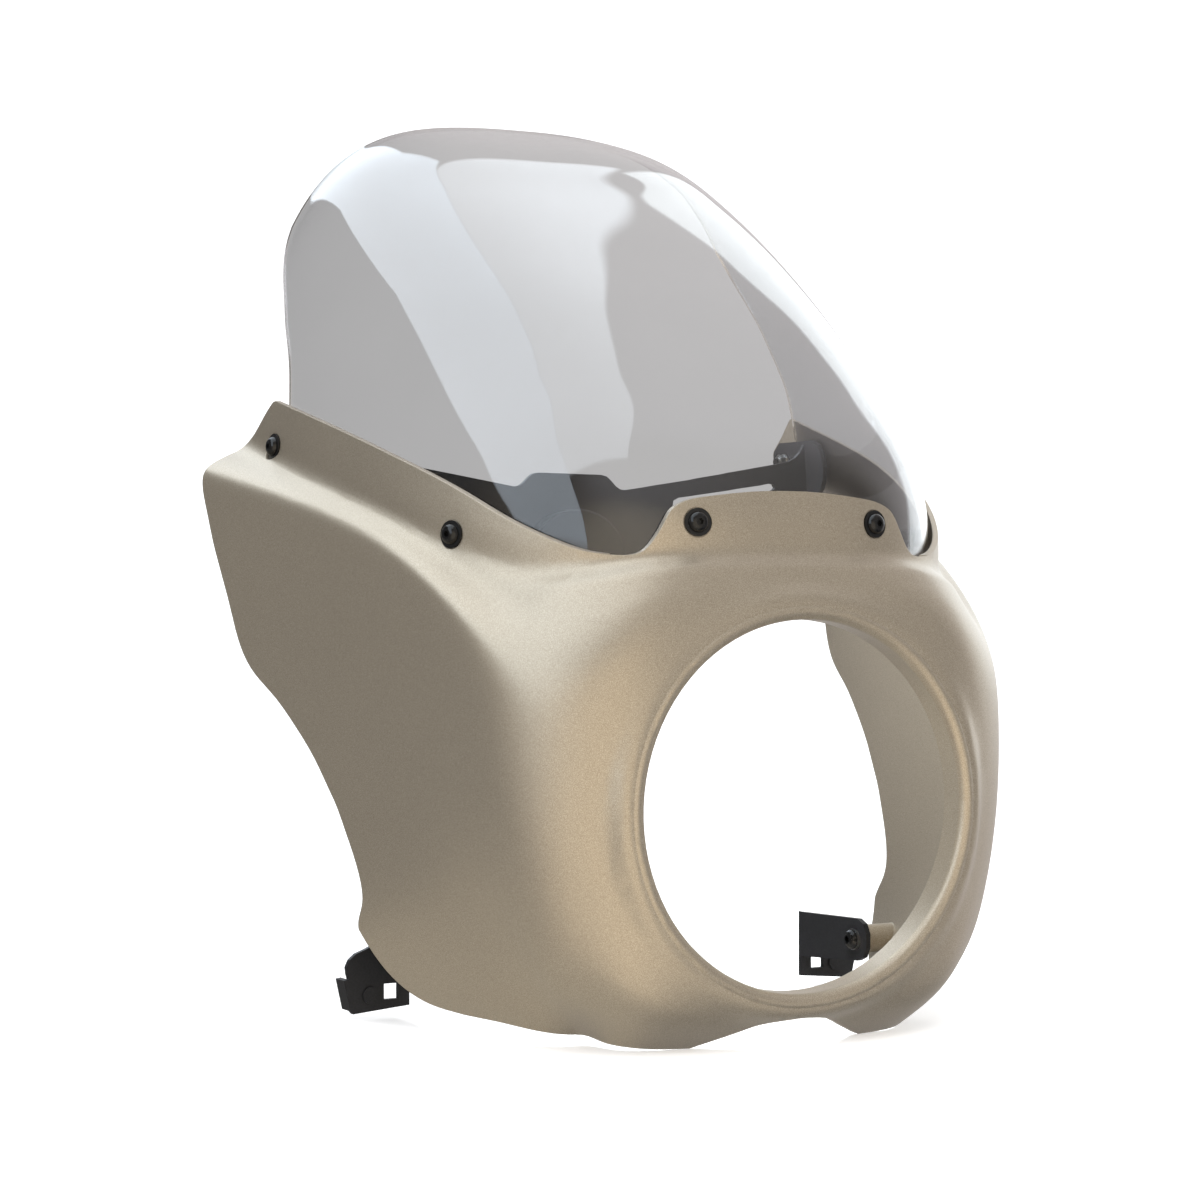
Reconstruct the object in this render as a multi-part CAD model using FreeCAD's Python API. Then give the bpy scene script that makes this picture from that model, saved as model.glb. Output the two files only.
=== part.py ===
import FreeCAD, Part
import math
import os

# Headlight cowl: a one-piece moulded shell with a round headlight opening, a blown
# clear screen fixed inside its top band, and the steel brackets that carry it.
# Frame: origin at the centre of the headlight opening, halfway along its cylindrical
# wall; -Y is the front, +Z is up, millimetres. The depths in this file are measured
# from the flat rim plane round the opening; save() moves every piece by ORIGIN_Y.

V = FreeCAD.Vector

# ---------------------------------------------------------------- driving sizes
WALL = 3.0                 # moulded wall of the shell
BORE_R = 95.0              # headlight opening, radius of the cylindrical flange
LIP_R = 101.0              # where the rolled lip meets the flat rim
LIP_DEPTH = 17.0           # depth of the return flange behind the rim plane
BORE_Y0 = 4.2              # the cylindrical wall of the opening starts this far in
ORIGIN_Y = (BORE_Y0 + LIP_DEPTH) / 2   # depth of the frame's origin
LIP_PROUD = 0.9            # the rolled bead stands this far ahead of the rim plane
RIM_BLEND = (101.5, 116.0) # the flat rim fades into the body between these radii
SCREEN_T = 3.0             # screen thickness
SCREEN_GAP = 1.5           # rubber between the screen and the shell's band
BAND = SCREEN_GAP + WALL   # outer band surface stands this far outside the screen

SCREEN_Y0 = 332.0          # plane of greatest width of the screen's bubble
SCREEN_W = 173.0           # half width of the bubble
SCREEN_H = 286.0           # crown height of the bubble above z = 100
PROFILE_Z = [100.0, 130.0, 150.0, 180.0, 220.0, 260.0, 300.0, 340.0, 370.0, 386.0]
PROFILE_Y = [20.5, 21.5, 23.0, 36.3, 74.0, 119.9, 174.8, 235.0, 282.8, 325.0]

SCREW_R = 2.5              # M5 screws of the screen
HEAD_R = 5.4
HEAD_H = 3.3
WASHER_R = 7.2
WASHER_T = 1.2
SEAT_R = 7.6               # flat seat moulded round each screw

PLATE_T = 3.0              # steel of both kinds of bracket
CROSS_Y = 257.0            # front face of the cross bracket
CROSS_HOLE_R = 4.25        # its two mounting holes
CROSS_HOLE_X = 43.0
CROSS_HOLE_Z = 112.5
CROSS_BOSS_R = 32.0         # round boss pressed forward in its middle
CROSS_BOSS_Z = 124.5
CROSS_BOSS_H = 12.0
LOW_Y = 206.0              # front face of the lower brackets' square-hole leg
SQUARE = 8.6               # square hole for a carriage bolt

# ---------------------------------------------------------------- small helpers


def pchip(xs, ys, x):
    """Monotone cubic through (xs, ys)."""
    n = len(xs)
    if x <= xs[0]:
        return ys[0] + (x - xs[0]) * 0.02
    if x >= xs[-1]:
        return ys[-1]
    h = [xs[i + 1] - xs[i] for i in range(n - 1)]
    d = [(ys[i + 1] - ys[i]) / h[i] for i in range(n - 1)]
    m = [0.0] * n
    m[0], m[-1] = d[0], d[-1]
    for i in range(1, n - 1):
        if d[i - 1] * d[i] > 0:
            w1, w2 = 2 * h[i] + h[i - 1], h[i] + 2 * h[i - 1]
            m[i] = (w1 + w2) / (w1 / d[i - 1] + w2 / d[i])
    i = max(j for j in range(n - 1) if xs[j] <= x)
    t = (x - xs[i]) / h[i]
    return (ys[i] * (1 + 2 * t) * (1 - t) ** 2 + m[i] * h[i] * t * (1 - t) ** 2
            + ys[i + 1] * t * t * (3 - 2 * t) + m[i + 1] * h[i] * t * t * (t - 1))


def smooth(t):
    t = min(max(t, 0.0), 1.0)
    return t * t * t * (t * (6 * t - 15) + 10)


def box(x0, x1, y0, y1, z0, z1):
    return Part.makeBox(x1 - x0, y1 - y0, z1 - z0, V(x0, y0, z0))


def prism_x(yz, x0, x1):
    """Closed polygon in Y, Z swept along X."""
    w = Part.makePolygon([V(x0, y, z) for y, z in yz] + [V(x0, yz[0][0], yz[0][1])])
    return Part.Face(w).extrude(V(x1 - x0, 0, 0))


def prism_y(xz, y0, y1):
    """Closed polygon in X, Z swept along Y."""
    w = Part.makePolygon([V(x, y0, z) for x, z in xz] + [V(xz[0][0], y0, xz[0][1])])
    return Part.Face(w).extrude(V(0, y1 - y0, 0))


def spline_edge(pts):
    c = Part.BSplineCurve()
    c.interpolate(pts)
    return c.toShape()


def cyl(p, d, r, a, b):
    """Cylinder on the axis p + s*d, from s = a to s = b."""
    return Part.makeCylinder(r, b - a, p + d * a, d)


def mirror(s):
    return s.mirror(V(0, 0, 0), V(1, 0, 0))


def save(name, shape):
    sols = shape.Solids
    bad = [s for s in sols if not s.isValid() or s.Volume <= 0]
    b = shape.BoundBox
    print("%-26s solids %d vol %.0f%s  x %.1f..%.1f y %.1f..%.1f z %.1f..%.1f" % (
        name, len(sols), shape.Volume, " BAD" if bad or not sols else "",
        b.XMin, b.XMax, b.YMin, b.YMax, b.ZMin, b.ZMax))
    if len(sols) == 1:
        shape = sols[0]
    shape = shape.translated(V(0, -ORIGIN_Y, 0))
    shape.exportStep("parts/" + name + ".step")


# ---------------------------------------------------------------- the bubble
# The screen is a superelliptic bubble: at height z its plan is
# (x/W)^3.25 + (y'/b)^m = 1, with y' measured forward from SCREEN_Y0.


def bub_w(z):
    q = min(max(z - 100.0, 0.0) / SCREEN_H, 1.0)
    return SCREEN_W * (1 - q ** 3.2) ** (1 / 3.2)


def bub_m(z):
    return 2.4 - 0.38 * min(max((z - 140.0) / 100.0, 0.0), 1.0)


def bub_b(z):
    return SCREEN_Y0 - pchip(PROFILE_Z, PROFILE_Y, z)


def bub_x(y, z):
    """Half width of the bubble at depth y and height z."""
    b = bub_b(z)
    if b <= 0:
        return 0.0
    q = min(max((SCREEN_Y0 - y) / b, 0.0), 1.0)
    return bub_w(z) * max(1 - q ** bub_m(z), 0.0) ** (1 / 3.25)


def bub_normal(y, z):
    """Outward normal of the bubble on the +X side."""
    e = 0.25
    dy = (bub_x(y + e, z) - bub_x(y - e, z)) / (2 * e)
    dz = (bub_x(y, z + e) - bub_x(y, z - e)) / (2 * e)
    return V(1, -dy, -dz).normalize()


def bub_plan(th, z, off):
    """Point of the bubble's plan at angle th (0 = side, 90 = front), offset outwards."""
    def p(t):
        c, s = max(math.cos(t), 0.0), max(math.sin(t), 0.0)
        return (bub_w(z) * c ** (2 / 3.25), SCREEN_Y0 - bub_b(z) * s ** (2 / bub_m(z)))
    x, y = p(th)
    a, b = p(max(th - 0.01, 0.0)), p(min(th + 0.01, math.pi / 2))
    tx, ty = a[0] - b[0], a[1] - b[1]
    l = math.hypot(tx, ty)
    return x + off * ty / l, y - off * tx / l


def plan_angle(x=None, y=None):
    """Angle whose plan point at z = 150 has the given x (front) or y (side)."""
    lo, hi = 0.0, math.pi / 2
    for _ in range(50):
        mid = (lo + hi) / 2
        q = bub_plan(mid, 150.0, 0.0)
        if (x is not None and q[0] > x) or (y is not None and q[1] > y):
            lo = mid
        else:
            hi = mid
    return (lo + hi) / 2


# ---------------------------------------------------------------- shell surface
# Control net of the outer surface, half of it: columns run from the centre of the
# front round the corner to the rear, rows from the bottom edge to the top band.
# BODY is the plan of the widest level; the band follows the screen's bubble.
BODY = [(0, 0), (40, 0), (76, 0), (101, 2), (123, 12.5), (141, 28.5), (151.5, 46),
        (158, 66), (164, 93), (172, 133), (182, 186), (194, 246), (206.5, 308), (216, 352)]
BAND_AT = [("x", 0), ("x", 36), ("x", 66), ("x", 88), ("x", 105), ("y", 56), ("y", 69),
           ("y", 86), ("y", 110), ("y", 145), ("y", 193), ("y", 248), ("y", 305), ("y", 331)]
RIDGE_Z = [0, 0, 0, 0, 0, 80, 89, 101, 114, 131, 148, 163, 177, 188]
CREASE_Z = [0, 0, 0, 0, 0, 20, 5, -12, -32, -52, -64, -66, -66, -66]
# rows as (height, inset, share of the band)
FRONT = [(-146, 68, 0), (-128, 38, 0), (-112, 13, 0), (-99, 2.5, 0), (-68, 0, 0), (-8, 0, 0),
         (50, 0, 0), (80, 0, 0), (97, 0, .06), (110, 0, .25), (122, 0, .62), (138, 0, 1), (175, 0, 1)]
CORNER = [(-142, 106, 0), (-121, 69, 0), (-104, 37, 0), (-85, 17, 0), (-55, 7.5, 0), (-10, 0.5, 0),
          (38, 0, 0), (64, 0, .06), (80, 0, .22), (96, 0, .46), (112, 0, .73), (130, 0, 1), (170, 0, 1)]
MIX = [(1, 0, 0), (1, 0, 0), (.9, .1, 0), (.55, .45, 0), (.15, .85, 0), (0, 1, 0),
       (0, .75, .25), (0, .35, .65), (0, .1, .9)] + [(0, 0, 1)] * 5
LEAN = 0.05


def side_rows(c):
    zr, zc = RIDGE_Z[c], CREASE_Z[c]
    rows = [(-150, 48, 0), (-125, 30, 0), (-104, 15, 0), (zc - 14, 3, 0), (zc + 14, 0, 0),
            ((zc + zr) / 2 - 4, 0, 0), (zr - 26, 0, 0), (zr - 7, 0, 0), (zr + 1, 0, .06),
            (zr + 8, 0, .6), (zr + 14, 0, 1.02), (zr + 34, 0, 1), (zr + 74, 0, 1)]
    return [(z, i + LEAN * (zr - z) if t < .5 else i, t) for z, i, t in rows]


def shell_net():
    n = len(BODY)
    ang = [plan_angle(x=v) if k == "x" else plan_angle(y=v) for k, v in BAND_AT]
    half = []
    for c in range(n):
        if c == 0:
            tx, ty = 1.0, 0.0
        else:
            a, b = BODY[c - 1], BODY[min(c + 1, n - 1)]
            l = math.hypot(b[0] - a[0], b[1] - a[1])
            tx, ty = (b[0] - a[0]) / l, (b[1] - a[1]) / l
        nx, ny = ty, -tx
        side = side_rows(c)
        wf, wc, ws = MIX[c]
        col = []
        for r in range(13):
            z = wf * FRONT[r][0] + wc * CORNER[r][0] + ws * side[r][0]
            i = wf * FRONT[r][1] + wc * CORNER[r][1] + ws * side[r][1]
            t = wf * FRONT[r][2] + wc * CORNER[r][2] + ws * side[r][2]
            x, y = BODY[c][0] - nx * i, BODY[c][1] - ny * i
            if t > 0:
                dx, dy = bub_plan(ang[c], max(z, 110.0), BAND)
                if c == 0:
                    dx = 0.0
                if c == n - 1:
                    dy += 22.0
                x, y = x * (1 - t) + dx * t, y * (1 - t) + dy * t
            col.append((x, y, z))
        half.append(col)
    full = [[(-x, y, z) for x, y, z in col] for col in half[:0:-1]] + half
    return full


def net_surface(net):
    nu, nv = len(net), len(net[0])
    s = Part.BSplineSurface()
    def kn(n):
        m = n - 3
        return [i / float(m) for i in range(m + 1)], [4] + [1] * (m - 1) + [4]
    ku, mu = kn(nu)
    kv, mv = kn(nv)
    s.buildFromPolesMultsKnots([[V(*p) for p in col] for col in net], mu, mv, ku, kv, False, False, 3, 3)
    return s


def knots_for(spans, per):
    """Distinct knots that split each of the net's even spans into per(i) parts."""
    out = []
    for i in range(spans):
        k = per(i)
        out += [(i + j / float(k)) / spans for j in range(k)]
    return out + [1.0]


def basis_row(full, n, t):
    """Cubic basis functions at t over the full knot list, as n values."""
    k = 3
    while k < n - 1 and full[k + 1] <= t:
        k += 1
    b = [1.0]
    for d in range(1, 4):
        nb = [0.0] * (d + 1)
        for r in range(d):
            lo, hi = full[k - d + 1 + r], full[k + 1 + r]
            w = b[r] / (hi - lo)
            nb[r] += w * (hi - t)
            nb[r + 1] += w * (t - lo)
        b = nb
    row = [0.0] * n
    for r in range(4):
        row[k - 3 + r] = b[r]
    return row


def solver(full, n):
    """Greville points and the LU factors of their basis matrix."""
    g = [(full[i + 1] + full[i + 2] + full[i + 3]) / 3.0 for i in range(n)]
    m = [basis_row(full, n, t) for t in g]
    for c in range(n):
        for r in range(c + 1, min(c + 4, n)):
            f = m[r][c] / m[c][c]
            m[r][c] = f
            if f:
                for q in range(c + 1, min(c + 7, n)):
                    m[r][q] -= f * m[c][q]
    return g, m


def solve(m, rhs):
    n = len(m)
    x = [V(p) for p in rhs]
    for r in range(n):
        for c in range(max(0, r - 3), r):
            if m[r][c]:
                x[r] = x[r] - x[c] * m[r][c]
    for r in range(n - 1, -1, -1):
        for c in range(r + 1, min(r + 7, n)):
            if m[r][c]:
                x[r] = x[r] - x[c] * m[r][c]
        x[r] = x[r] * (1.0 / m[r][r])
    return x


def fit_surface(f, ku, kv):
    """Cubic surface on the given knots through f(u, v) at the Greville points."""
    fu, fv = [ku[0]] * 3 + ku + [ku[-1]] * 3, [kv[0]] * 3 + kv + [kv[-1]] * 3
    nu, nv = len(fu) - 4, len(fv) - 4
    gu, mu = solver(fu, nu)
    gv, mv = solver(fv, nv)
    rows = [solve(mv, [f(u, v) for v in gv]) for u in gu]
    cols = [solve(mu, [rows[i][j] for i in range(nu)]) for j in range(nv)]
    poles = [[cols[j][i] for j in range(nv)] for i in range(nu)]
    s = Part.BSplineSurface()
    s.buildFromPolesMultsKnots(poles, [4] + [1] * (len(ku) - 2) + [4], [4] + [1] * (len(kv) - 2) + [4],
                               ku, kv, False, False, 3, 3)
    return s


def bub_f(x, y, z):
    """Implicit form of the bubble: zero on its surface, positive outside."""
    q = max(SCREEN_Y0 - y, 0.0) / bub_b(z)
    return (abs(x) / bub_w(z)) ** 3.25 + q ** bub_m(z) - 1


def bub_grad(p):
    e = 0.05
    return V(bub_f(p.x + e, p.y, p.z) - bub_f(p.x - e, p.y, p.z),
             bub_f(p.x, p.y + e, p.z) - bub_f(p.x, p.y - e, p.z),
             bub_f(p.x, p.y, p.z + e) - bub_f(p.x, p.y, p.z - e)) * (0.5 / e)


def bub_offset(p, off):
    """The point over p's foot on the bubble, at the distance off outside it."""
    q = p
    for _ in range(4):
        g = bub_grad(q)
        q = q - g * (bub_f(q.x, q.y, q.z) / g.dot(g))
        n = bub_grad(q).normalize()
        q = p - n * (p - q).dot(n)
    return q + n * off


def outer_point(s, u, v):
    """Point of the outer surface: the top band runs parallel to the screen's bubble,
    and the flat rim round the opening is blended in."""
    p = s.value(u, v)
    w = smooth((v - 0.885) / 0.055)
    if w > 0:
        p = p * (1 - w) + bub_offset(p, BAND) * w
    if p.y < 60:
        r = math.hypot(p.x, p.z)
        w = smooth((RIM_BLEND[1] - r) / (RIM_BLEND[1] - RIM_BLEND[0]))
        p = V(p.x, p.y * (1 - w), p.z)
    return p


def shell_surfaces():
    s = net_surface(shell_net())
    ku = knots_for(24, lambda i: 6 if 9 <= i <= 14 else (4 if 6 <= i <= 17 else 2))
    kv = knots_for(10, lambda i: 6 if 2 <= i <= 5 else 4)
    e = 1e-4

    def inner_point(u, v):
        u0, u1 = max(u - e, 0), min(u + e, 1)
        v0, v1 = max(v - e, 0), min(v + e, 1)
        du = outer_point(s, u1, v) - outer_point(s, u0, v)
        dv = outer_point(s, u, v1) - outer_point(s, u, v0)
        return outer_point(s, u, v) - du.cross(dv).normalize() * WALL
    return (fit_surface(lambda u, v: outer_point(s, u, v), ku, kv),
            fit_surface(inner_point, ku, kv))


def thick_solid(fo, fi):
    """Closed solid between two surfaces of the same parameters."""
    faces = [fo.toShape(), fi.toShape()]

    def iso(s):
        u0, u1, v0, v1 = s.bounds()
        return [s.uIso(u0).toShape(), s.uIso(u1).toShape(), s.vIso(v0).toShape(), s.vIso(v1).toShape()]
    for p, q in zip(iso(fo), iso(fi)):
        faces.append(Part.makeRuledSurface(p, q))
    sh = Part.makeShell(faces)
    sh.sewShape()
    sol = Part.makeSolid(sh)
    if sol.Volume < 0:
        sol.reverse()
    return sol


# ---------------------------------------------------------------- edges of the shell
# Top edge as height over depth, behind TOP_SPLIT; hood as height over x in front of it.
TOP_SPLIT = 38.0
TOP = [(38, 128.4), (43.6, 129.7), (50.5, 132.6), (58.5, 136.6), (77.4, 146.2), (100.9, 158.5),
       (127.2, 169.7), (158.8, 180.8), (195.7, 192.4), (238.5, 204.3), (284.5, 215.9)]
REAR = [(287.5, 215.4), (294, 210.9), (301.5, 204.9), (309, 199.0), (314, 193.3), (315, 187.5),
        (313, 182.0), (311.4, 177.0), (311.2, 172.0), (310.4, 165.0), (308.4, 157.5), (306, 149.2),
        (302.5, 136.6), (298.6, 126.2), (294.2, 115.1), (289.8, 104.0), (285.6, 91.8), (281, 80.5),
        (276.7, 73.3), (270.5, 66.3), (262.0, 59.8), (248.0, 50.8), (234.2, 39.7), (222.0, 28.5),
        (211.2, 17.0), (202, 4.8), (194.4, -5.4), (187.8, -17.4), (182.4, -27.8), (178, -38.1),
        (175.7, -46.9), (176.0, -55.0), (179.6, -62.0), (183.2, -67.9), (184.2, -71.5)]
BOTTOM = [(180.9, -78.1), (177.2, -85.4), (171.9, -94.1), (163.6, -102.0), (151.5, -107.8), (136.9, -110.4),
          (117.7, -111.8), (96.5, -112.9), (79.0, -115.6), (66, -118.3), (53, -120.2), (41, -121.4),
          (34, -122.8), (30, -124.0)]
HOOD = [(0, 160.8), (16, 160.5), (34, 159.0), (46, 157.6), (54, 156.4), (60, 154.6), (65.9, 151.3),
        (70.9, 143.8), (75.4, 136.2), (78.3, 132.2), (80.8, 129.9), (83.8, 128.4), (87.5, 127.7),
        (94, 127.8), (101, 128.4), (106.0, 129.3)]
NOTCH = [(0, -107.6), (9, -108.3), (20, -110.4), (29, -113.9), (38, -117.7), (46, -120.9),
         (53, -124.0), (59, -127.0)]


def cut_edges(solid):
    """Trim the moulding to its outline."""
    # side outline: keep what lies inside it
    top = spline_edge([V(-260, y, z) for y, z in TOP])
    rear = spline_edge([V(-260, y, z) for y, z in REAR])
    bot = spline_edge([V(-260, y, z) for y, z in BOTTOM])
    pts = [(30, -126), (-40, -126), (-40, 200), (TOP_SPLIT, 200), (TOP_SPLIT, TOP[0][1])]
    e = [top,
         Part.makeLine(V(-260, *TOP[-1]), V(-260, *REAR[0])), rear,
         Part.makeLine(V(-260, *REAR[-1]), V(-260, *BOTTOM[0])), bot,
         Part.makeLine(V(-260, *BOTTOM[-1]), V(-260, *pts[0]))]
    for p, q in zip(pts[:-1], pts[1:]):
        e.append(Part.makeLine(V(-260, *p), V(-260, *q)))
    w = Part.Wire(Part.__sortEdges__(e))
    keep = Part.Face(w).extrude(V(520, 0, 0))
    solid = solid.common(keep)
    # hood and the two dips beside it
    h = HOOD
    full = [V(-x, -40, z) for x, z in h[:0:-1]] + [V(x, -40, z) for x, z in h]
    e1 = spline_edge(full)
    a, b = full[-1], full[0]
    w = Part.Wire(Part.__sortEdges__([e1, Part.makeLine(a, V(150, -40, a.z + 0.8)),
                                      Part.makeLine(V(150, -40, a.z + 0.8), V(150, -40, 240)),
                                      Part.makeLine(V(150, -40, 240), V(-150, -40, 240)),
                                      Part.makeLine(V(-150, -40, 240), V(-150, -40, b.z + 0.8)),
                                      Part.makeLine(V(-150, -40, b.z + 0.8), b)]))
    solid = solid.cut(Part.Face(w).extrude(V(0, TOP_SPLIT + 40.6, 0)))
    # arch under the opening
    n = NOTCH
    full = [V(-x, -40, z) for x, z in n[:0:-1]] + [V(x, -40, z) for x, z in n]
    e1 = spline_edge(full)
    a, b = full[-1], full[0]
    w = Part.Wire(Part.__sortEdges__([e1, Part.makeLine(a, V(a.x, -40, -160)),
                                      Part.makeLine(V(a.x, -40, -160), V(b.x, -40, -160)),
                                      Part.makeLine(V(b.x, -40, -160), b)]))
    solid = solid.cut(Part.Face(w).extrude(V(0, 130, 0)))
    return solid


def lip():
    """Rolled lip and return flange of the headlight opening, turned about Y.
    Its bead stands LIP_PROUD ahead of the flat rim and its root is buried in the wall."""
    r, h = BORE_R, LIP_PROUD
    a1 = Part.Arc(V(LIP_R + 1.4, 0.6, 0), V(LIP_R + 0.2, -0.62 * h, 0), V(LIP_R - 1.6, -h, 0)).toShape()
    a2 = Part.Arc(V(LIP_R - 1.6, -h, 0), V(r + 1.35, -h + 1.55, 0), V(r, BORE_Y0, 0)).toShape()
    pts = [V(r, BORE_Y0, 0), V(r, LIP_DEPTH, 0), V(r + WALL, LIP_DEPTH, 0), V(r + WALL, 5.2, 0),
           V(LIP_R, 2.2, 0), V(LIP_R + 1.4, 0.6, 0)]
    w = Part.Wire([a1, a2] + [Part.makeLine(p, q) for p, q in zip(pts[:-1], pts[1:])])
    return Part.Face(w).revolve(V(0, 0, 0), V(0, 1, 0), 360)


# ---------------------------------------------------------------- screw places
def place(y, z, side):
    """Point on the bubble's outer surface and its outward normal."""
    p = V(bub_x(y, z), y, z)
    n = bub_normal(y, z)
    if side < 0:
        p, n = V(-p.x, p.y, p.z), V(-n.x, n.y, n.z)
    return p, n


def front_place(x, z, side):
    lo, hi = 10.0, 120.0
    for _ in range(60):
        mid = (lo + hi) / 2
        if bub_x(mid, z) < x:
            lo = mid
        else:
            hi = mid
    return place((lo + hi) / 2, z, side)


FRONT_SCREW = (52.7, 143.9)  # x, z
MID_SCREW = (110.6, 138.6)   # y, z
REAR_SCREW = (281.8, 189.8)  # y, z
SINK = 0.35                  # depth of the flat seats at their centre
HEAD_S = BAND - SINK         # the washers sit here on the outside
INNER_S = SCREEN_GAP + SINK  # the rubber bears here on the inside

frames = {}
for side in (-1, 1):
    frames[("front", side)] = front_place(FRONT_SCREW[0], FRONT_SCREW[1], side)
    frames[("mid", side)] = place(MID_SCREW[0], MID_SCREW[1], side)
    frames[("rear", side)] = place(REAR_SCREW[0], REAR_SCREW[1], side)


def dome_head(p, n, r, h, af):
    """Domed screw head on the axis n from p, with a hexagon socket."""
    arc = Part.Arc(V(r, 0, 0.5), V(r * 0.78, 0, h * 0.76), V(r * 0.42, 0, h)).toShape()
    w = Part.Wire([Part.makeLine(V(0, 0, 0), V(r, 0, 0)), Part.makeLine(V(r, 0, 0), V(r, 0, 0.5)), arc,
                   Part.makeLine(V(r * 0.42, 0, h), V(0, 0, h)), Part.makeLine(V(0, 0, h), V(0, 0, 0))])
    head = Part.Face(w).revolve(V(0, 0, 0), V(0, 0, 1), 360)
    head = head.cut(hexagon(af, h - 1.9, h + 2))
    head.Placement = FreeCAD.Placement(p, FreeCAD.Rotation(V(0, 0, 1), n))
    return head


def hexagon(af, z0, z1):
    a = af / math.sqrt(3)
    pts = [V(a * math.cos(k * math.pi / 3), a * math.sin(k * math.pi / 3), z0) for k in range(7)]
    return Part.Face(Part.makePolygon(pts)).extrude(V(0, 0, z1 - z0))


def screw(f, length):
    p, n = f
    s0 = HEAD_S + WASHER_T
    head = dome_head(p + n * s0, n, HEAD_R, HEAD_H, 3.0)
    return head.fuse(cyl(p, n, SCREW_R, s0 - length, s0 + 0.2)).removeSplitter()


def ring(f, r_out, r_in, a, b):
    p, n = f
    return cyl(p, n, r_out, a, b).cut(cyl(p, n, r_in, a - 1, b + 1))


# ---------------------------------------------------------------- shell
BOSS = (150.0, -90.0)      # depth and height of the lower bosses' axis (along X)
BOSS_R = 8.0
BOSS_X = 130.0             # inner end face
INSERT_R = 4.2
INSERT_L = 12.0


def build_shell():
    fo, fi = shell_surfaces()
    body = cut_edges(thick_solid(fo, fi))
    body = body.cut(Part.makeCylinder(BORE_R + 4.0, 60, V(0, -20, 0), V(0, 1, 0)))
    # bosses, ending on the inside of the wall
    for side in (-1, 1):
        b = Part.makeCylinder(BOSS_R, 45, V(BOSS_X, BOSS[0], BOSS[1]), V(1, 0, 0))
        h = Part.makeCylinder(INSERT_R, INSERT_L, V(BOSS_X, BOSS[0], BOSS[1]), V(1, 0, 0))
        if side < 0:
            b, h = mirror(b), mirror(h)
        inside = min(b.cut(body).Solids, key=lambda q: abs(q.CenterOfMass.x))
        body = body.fuse(inside).cut(h)
    body = body.fuse(lip())
    # flat seats and clearance holes for the screen's screws
    for p, n in frames.values():
        body = body.cut(cyl(p, n, SEAT_R, HEAD_S, HEAD_S + 5))
        body = body.cut(cyl(p, n, SEAT_R, -4, INNER_S))
        body = body.cut(cyl(p, n, SCREW_R + 0.3, -6, 12))
    return body


# ---------------------------------------------------------------- screen
SCREEN_TOP = 386.0
SCREEN_REAR = [(272, 180), (272.6, 189), (274, 198), (277.3, 217), (281.5, 233), (287.5, 246), (295, 259),
               (303.5, 274.5), (314, 290.5), (322.5, 305), (328, 320), (330, 340), (329, 362), (327, 380), (326.5, 396)]
SCREEN_LOW = [(-10, 118), (30, 118), (60, 112), (117, 122), (200, 148), (260, 168.5), (272, 180)]


def arch(alpha, off_start=20.0, n=260):
    """Half arch of the bubble in the plane through the X-parallel axis at
    (SCREEN_Y0, 100), from the side (index 0) to the centre, evenly spaced."""
    ca, sa = math.cos(alpha), math.sin(alpha)
    lo, hi = 0.0, 400.0
    for _ in range(60):
        mid = (lo + hi) / 2
        z = 100 + mid * sa
        if z < SCREEN_TOP and mid * ca < bub_b(z):
            lo = mid
        else:
            hi = mid
    top = lo
    pts = []
    for i in range(n + 1):
        rho = off_start + (top - off_start) * (1 - (1 - i / float(n)) ** 4)
        y, z = SCREEN_Y0 - rho * ca, 100 + rho * sa
        pts.append(V(bub_x(y, z) if i < n else 0.0, y, z))
    return pts


def even(pts, n):
    """n + 1 points evenly spaced along a polyline."""
    d = [0.0]
    for a, b in zip(pts[:-1], pts[1:]):
        d.append(d[-1] + (b - a).Length)
    out, k = [], 0
    for i in range(n + 1):
        t = d[-1] * i / n
        while k < len(d) - 2 and d[k + 1] < t:
            k += 1
        q = (t - d[k]) / max(d[k + 1] - d[k], 1e-9)
        out.append(pts[k] + (pts[k + 1] - pts[k]) * min(max(q, 0), 1))
    return out


def screen_surfaces():
    a0, a1, na, ns = math.radians(-3), math.radians(90), 31, 60
    rows = []
    for i in range(na):
        half = even(arch(a0 + (a1 - a0) * i / (na - 1)), ns)
        rows.append(half + [V(-p.x, p.y, p.z) for p in half[-2::-1]])
    m = 2 * ns

    def at(u, v):
        """Smooth look-up in the table of arches."""
        i, j = v * (na - 1), u * m
        i0, j0 = min(int(i), na - 2), min(int(j), m - 1)
        fi, fj = i - i0, j - j0
        acc = V(0, 0, 0)
        for a, wa in cubic(i0, fi, na):
            for b, wb in cubic(j0, fj, m + 1):
                acc = acc + rows[a][b] * (wa * wb)
        return acc

    def cubic(k, f, n):
        """Catmull-Rom weights, falling back to reflected ends."""
        w = [-.5 * f + f * f - .5 * f ** 3, 1 - 2.5 * f * f + 1.5 * f ** 3,
             .5 * f + 2 * f * f - 1.5 * f ** 3, -.5 * f * f + .5 * f ** 3]
        idx = [k - 1, k, k + 1, k + 2]
        acc = {}
        for a, b in zip(idx, w):
            if a < 0:
                acc[0] = acc.get(0, 0) + 2 * b
                acc[1] = acc.get(1, 0) - b
            elif a >= n:
                acc[n - 1] = acc.get(n - 1, 0) + 2 * b
                acc[n - 2] = acc.get(n - 2, 0) - b
            else:
                acc[a] = acc.get(a, 0) + b
        return list(acc.items())
    e = 2e-4

    def inner(u, v):
        u0, u1, v0, v1 = max(u - e, 0), min(u + e, 1), max(v - e, 0), min(v + e, 1)
        n = (at(u1, v) - at(u0, v)).cross(at(u, v1) - at(u, v0)).normalize()
        if n.dot(at(u, v) - V(0, SCREEN_Y0, 100)) < 0:
            n = n * -1
        return at(u, v) - n * SCREEN_T
    ku = [i / 44.0 for i in range(45)]
    kv = [i / 22.0 for i in range(23)]
    return fit_surface(at, ku, kv), fit_surface(inner, ku, kv)


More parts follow.
